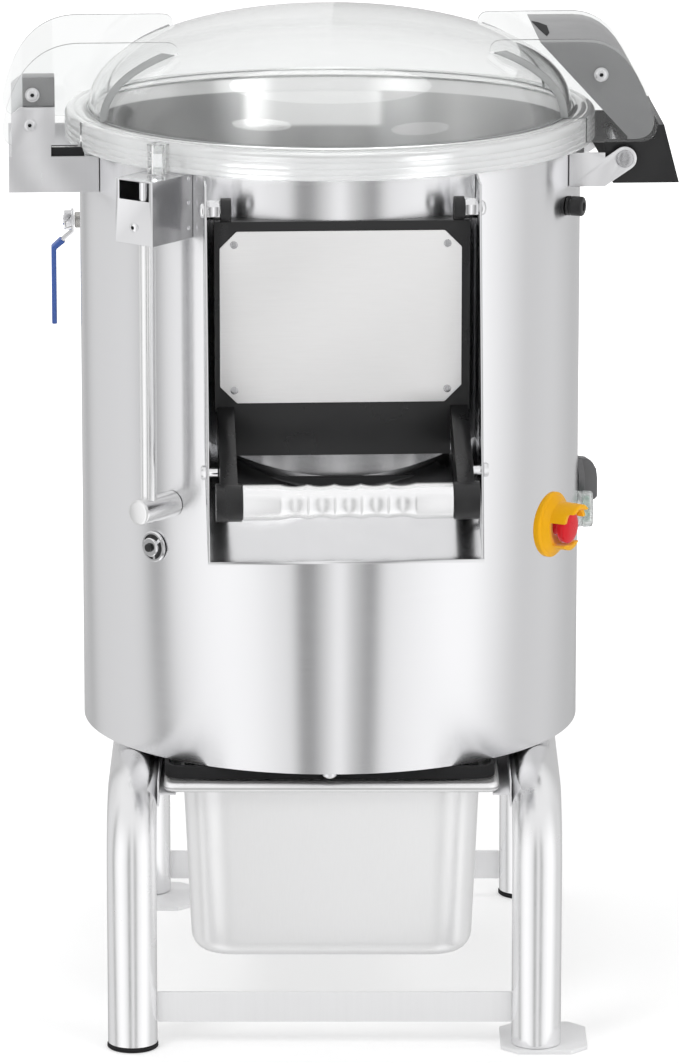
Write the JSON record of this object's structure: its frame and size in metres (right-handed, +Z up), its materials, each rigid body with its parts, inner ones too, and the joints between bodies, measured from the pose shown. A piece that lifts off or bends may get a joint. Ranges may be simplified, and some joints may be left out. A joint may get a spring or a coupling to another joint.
{
  "type": "electric potato peeler",
  "caption": "Upright steel drum on a tubular stand, with a clear hinged lid, a front discharge door and chute, a peeling disc, a waste pan and side controls.",
  "frame": {"origin": "middle of the bounding box, on the floor under the feet", "axes": "+Z up, -Y towards the front with the door and chute, +X towards the side with the lid hinge and the controls"},
  "size_m": [0.6626, 0.661, 0.9725],
  "materials": {
    "brushed_steel": "finely brushed stainless steel",
    "sheet_steel": "matt stainless sheet",
    "polished_steel": "polished stainless steel",
    "polished_alloy": "polished aluminium",
    "cast_alloy": "cast alloy",
    "clear_sheet": "clear polycarbonate",
    "grey_plastic": "dark grey moulded plastic",
    "black_plastic": "black plastic",
    "black_rubber": "black rubber",
    "yellow_plastic": "yellow plastic",
    "red_plastic": "red plastic",
    "green_plastic": "green plastic",
    "blue_vinyl": "blue dipped vinyl",
    "abrasive": "rough bonded abrasive grit",
    "painted_motor": "grey painted metal"
  },
  "bodies": {
    "base": {"leg_frame_left": "polished_steel", "leg_frame_right": "polished_steel", "anchor_plate_front_right": "sheet_steel", "anchor_plate_rear_left": "sheet_steel", "rubber_foot_front_left": "black_rubber", "rubber_foot_rear_right": "black_rubber", "front_cross_bar": "sheet_steel", "rear_cross_bar": "sheet_steel", "pan_rail_left": "sheet_steel", "pan_rail_right": "sheet_steel", "splash_skirt": "black_rubber", "base_plate": "sheet_steel", "drum_shell": "brushed_steel", "chamber_floor": "sheet_steel", "abrasive_liner": "abrasive", "top_seal": "black_rubber", "chute": "sheet_steel", "drain_spout": "sheet_steel", "drive_belt": "black_rubber", "bearing_housing": "cast_alloy", "motor_body": "painted_motor", "door_hinge_bolt_left": "polished_steel", "door_hinge_bolt_right": "polished_steel", "hinge_bracket": "sheet_steel", "hinge_pin": "polished_steel", "catch_bracket": "sheet_steel", "sensor_box": "sheet_steel", "lid_sensor": "polished_steel", "conduit": "brushed_steel", "reset_bezel": "polished_steel", "estop_guard": "yellow_plastic", "start_boot": "clear_sheet", "blanking_plug": "black_plastic", "cable_gland": "black_plastic", "inlet_pipe": "polished_steel", "valve_body": "polished_steel"},
    "lid": {"lid_dome": "clear_sheet", "lid_magnet": "polished_steel", "lid_cover": "grey_plastic", "strike_block": "grey_plastic", "hinge_guard": "black_plastic"},
    "door": {"door_leaf": "black_plastic", "door_plate": "brushed_steel", "door_arm_left": "black_plastic", "door_arm_right": "black_plastic", "handle_grip": "polished_alloy"},
    "drive": {"abrasive_disc": "abrasive", "disc_knob": "polished_steel", "drive_shaft": "polished_steel", "driven_pulley": "cast_alloy"},
    "motor": {"motor_pulley": "cast_alloy"},
    "pan": {"waste_pan": "brushed_steel"},
    "stop_button": {"estop_button": "red_plastic"},
    "start_button": {"start_button": "green_plastic"},
    "reset_button": {"reset_button": "black_plastic"},
    "timer": {"timer_knob": "grey_plastic"},
    "water_lever": {"valve_lever": "polished_steel", "valve_grip": "blue_vinyl"},
    "catch_left": {"catch_plunger_left": "polished_steel"},
    "catch_right": {"catch_plunger_right": "polished_steel"}
  },
  "joints": [
    {"name": "lid_hinge", "type": "hinge", "parent": "base", "child": "lid", "pos_m": [0.27335, 0.05877, 0.841], "axis": [-0.0488, 0.9988, 0], "range_deg": [0, 85]},
    {"name": "door_swing", "type": "hinge", "parent": "base", "child": "door", "pos_m": [0.0049, -0.20466, 0.824], "axis": [-0.9988, -0.0488, 0], "range_deg": [0, 95]},
    {"name": "disc_spin", "type": "hinge", "parent": "base", "child": "drive", "pos_m": [-0.00732, 0.04505, 0.56], "axis": [0, 0, 1], "continuous": true},
    {"name": "motor_spin", "type": "hinge", "parent": "base", "child": "motor", "pos_m": [-0.01455, 0.19287, 0.3356], "axis": [0, 0, 1], "continuous": true},
    {"name": "pan_slide", "type": "slide", "parent": "base", "child": "pan", "axis": [0, -1, 0], "range_m": [0, 0.4]},
    {"name": "estop_push", "type": "slide", "parent": "base", "child": "stop_button", "axis": [-0.8729, 0.4879, 0], "range_m": [0, 0.005], "stiffness_N_per_m": 400},
    {"name": "start_push", "type": "slide", "parent": "base", "child": "start_button", "axis": [-0.9999, -0.014, 0], "range_m": [0, 0.003], "stiffness_N_per_m": 300},
    {"name": "reset_push", "type": "slide", "parent": "base", "child": "reset_button", "axis": [0.6877, 0.726, 0], "range_m": [0, 0.002], "stiffness_N_per_m": 300},
    {"name": "timer_turn", "type": "hinge", "parent": "base", "child": "timer", "pos_m": [0.24712, 0.08899, 0.496], "axis": [0.9854, 0.1702, 0], "range_deg": [-300, 0]},
    {"name": "water_turn", "type": "hinge", "parent": "base", "child": "water_lever", "pos_m": [-0.22943, 0.18438, 0.739], "axis": [-0.9988, -0.0488, 0], "range_deg": [0, 90]},
    {"name": "catch_left_pull", "type": "slide", "parent": "base", "child": "catch_left", "axis": [-0.9988, -0.0488, 0], "range_m": [0, 0.004], "stiffness_N_per_m": 300},
    {"name": "catch_right_pull", "type": "slide", "parent": "base", "child": "catch_right", "axis": [0.9988, 0.0488, 0], "range_m": [0, 0.004], "stiffness_N_per_m": 300}
  ],
  "couplings": [
    {"joint": "motor_spin", "follows": "disc_spin", "ratio": 2.6667}
  ]
}
